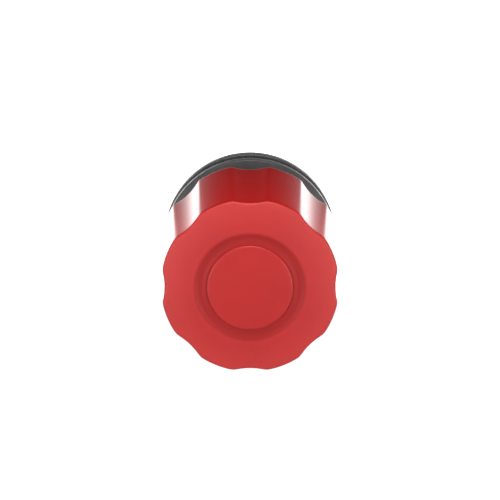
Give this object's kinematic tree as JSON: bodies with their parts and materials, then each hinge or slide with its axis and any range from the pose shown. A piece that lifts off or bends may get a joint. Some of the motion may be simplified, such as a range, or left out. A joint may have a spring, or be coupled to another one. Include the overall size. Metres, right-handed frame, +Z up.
{
  "type": "emergency stop button",
  "caption": "Panel-mounted emergency stop with a fluted red mushroom knob that pushes in to lock and twists to release, on a threaded body with a clip-on contact block.",
  "frame": {"origin": "on the push axis, in the plane of the panel's front surface, which is the rear face of the panel gasket", "axes": "+Y is the push direction, from the knob through the panel to the contacts; the knob faces -Y; +Z is up, at the locating key; +X is to the right as seen from the front"},
  "size_m": [0.0392, 0.0908, 0.0392],
  "materials": {
    "knob_red": "smooth moulded red plastic, glossy sides and a finer satin face",
    "cap_red": "satin moulded red plastic",
    "body_black": "black glass-filled plastic, fine moulded texture",
    "bezel_black": "satin black plastic",
    "nut_grey": "dark grey plastic",
    "seal_rubber": "black nitrile rubber",
    "steel": "zinc-plated steel",
    "spring_steel": "bright spring wire",
    "contact_metal": "silver-flashed brass strip",
    "acetal": "natural acetal",
    "plunger_green": "green plastic"
  },
  "bodies": {
    "housing": {"operator_body": "body_black", "guide_bush": "acetal", "shaft_seal": "seal_rubber", "skirt_seal": "seal_rubber", "bezel_ring": "bezel_black", "mounting_collar": "body_black", "panel_gasket": "seal_rubber", "lock_washer": "steel", "ring_nut": "nut_grey", "latch_carrier": "acetal", "latch_cover": "steel", "contact_housing": "body_black", "rear_cover": "nut_grey", "cover_screw_top": "steel", "cover_screw_bottom": "steel", "terminal_nc_left": "contact_metal", "terminal_nc_right": "contact_metal", "terminal_no_left": "contact_metal", "terminal_no_right": "contact_metal", "return_spring": "spring_steel", "pawl_spring_left": "spring_steel", "pawl_spring_right": "spring_steel", "carrier_spring": "spring_steel"},
    "slider": {"slider": "acetal"},
    "head": {"knob": "knob_red", "knob_cap": "cap_red", "knob_screw": "steel", "shaft": "steel", "shaft_clip": "steel", "twist_spring": "spring_steel"},
    "plunger": {"contact_carrier": "plunger_green", "nc_bridge": "contact_metal", "nc_spring": "spring_steel"},
    "no_contact": {"no_bridge": "contact_metal", "no_spring": "spring_steel"},
    "latch_left": {"latch_pawl_left": "steel"},
    "latch_right": {"latch_pawl_right": "steel"}
  },
  "joints": [
    {"name": "push", "type": "slide", "parent": "housing", "child": "slider", "axis": [0, 1, 0], "range_m": [0, 0.0055], "stiffness_N_per_m": 1200, "springref_m": -0.004, "deforming": ["return_spring", "carrier_spring"]},
    {"name": "twist", "type": "hinge", "parent": "slider", "child": "head", "pos_m": [0, 0, 0], "axis": [0, 1, 0], "range_deg": [0, 45], "stiffness_Nm_per_rad": 0.06, "springref_deg": -17.19, "deforming": ["twist_spring"]},
    {"name": "plunger_slide", "type": "slide", "parent": "housing", "child": "plunger", "axis": [0, 1, 0], "range_m": [0, 0.0055]},
    {"name": "no_contact_slide", "type": "slide", "parent": "housing", "child": "no_contact", "axis": [0, 1, 0], "range_m": [0, 0.004], "deforming": ["no_spring"]},
    {"name": "latch_left_slide", "type": "slide", "parent": "housing", "child": "latch_left", "axis": [-1, 0, 0], "range_m": [0, 0.0012], "deforming": ["pawl_spring_left"]},
    {"name": "latch_right_slide", "type": "slide", "parent": "housing", "child": "latch_right", "axis": [1, 0, 0], "range_m": [0, 0.0012], "deforming": ["pawl_spring_right"]}
  ],
  "couplings": [
    {"joint": "plunger_slide", "follows": "push", "ratio": 1},
    {"joint": "no_contact_slide", "follows": "push", "ratio": 0.72727},
    {"joint": "latch_left_slide", "follows": "push", "ratio": 0.21818},
    {"joint": "latch_right_slide", "follows": "push", "ratio": 0.21818}
  ]
}
